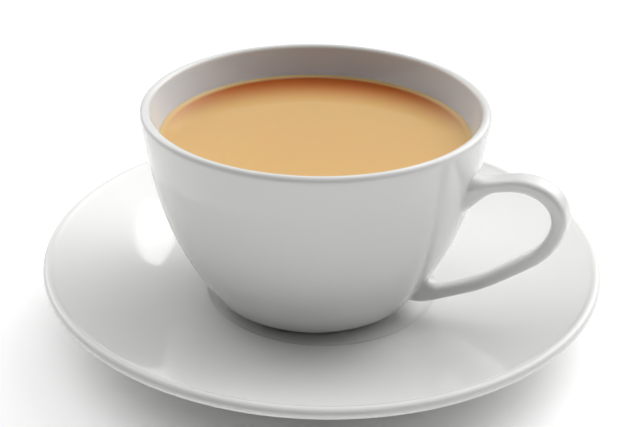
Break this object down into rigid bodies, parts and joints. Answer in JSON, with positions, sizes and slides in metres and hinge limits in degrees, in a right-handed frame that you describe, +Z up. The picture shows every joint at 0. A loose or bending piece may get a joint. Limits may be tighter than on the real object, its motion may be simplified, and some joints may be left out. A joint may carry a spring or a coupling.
{
  "type": "cup of tea with milk",
  "caption": "Glazed porcelain cup with a looped strap handle, filled with milky tea to just below its rim and standing in the well of a round saucer",
  "frame": {"origin": "on the table, under the middle of the saucer, in the plane of its foot ring", "axes": "+Z up; +X towards the handle's side; -Y towards the front, which the picture is taken from; the handle points 25.5 degrees from +X towards the front"},
  "size_m": [0.152, 0.152, 0.0625],
  "materials": {
    "porcelain": "white, high gloss glaze",
    "milk_tea": "opaque warm beige liquid with a smooth, wet surface"
  },
  "bodies": {
    "root": {"saucer": "porcelain", "cup": "porcelain", "tea": "milk_tea"}
  },
  "joints": []
}
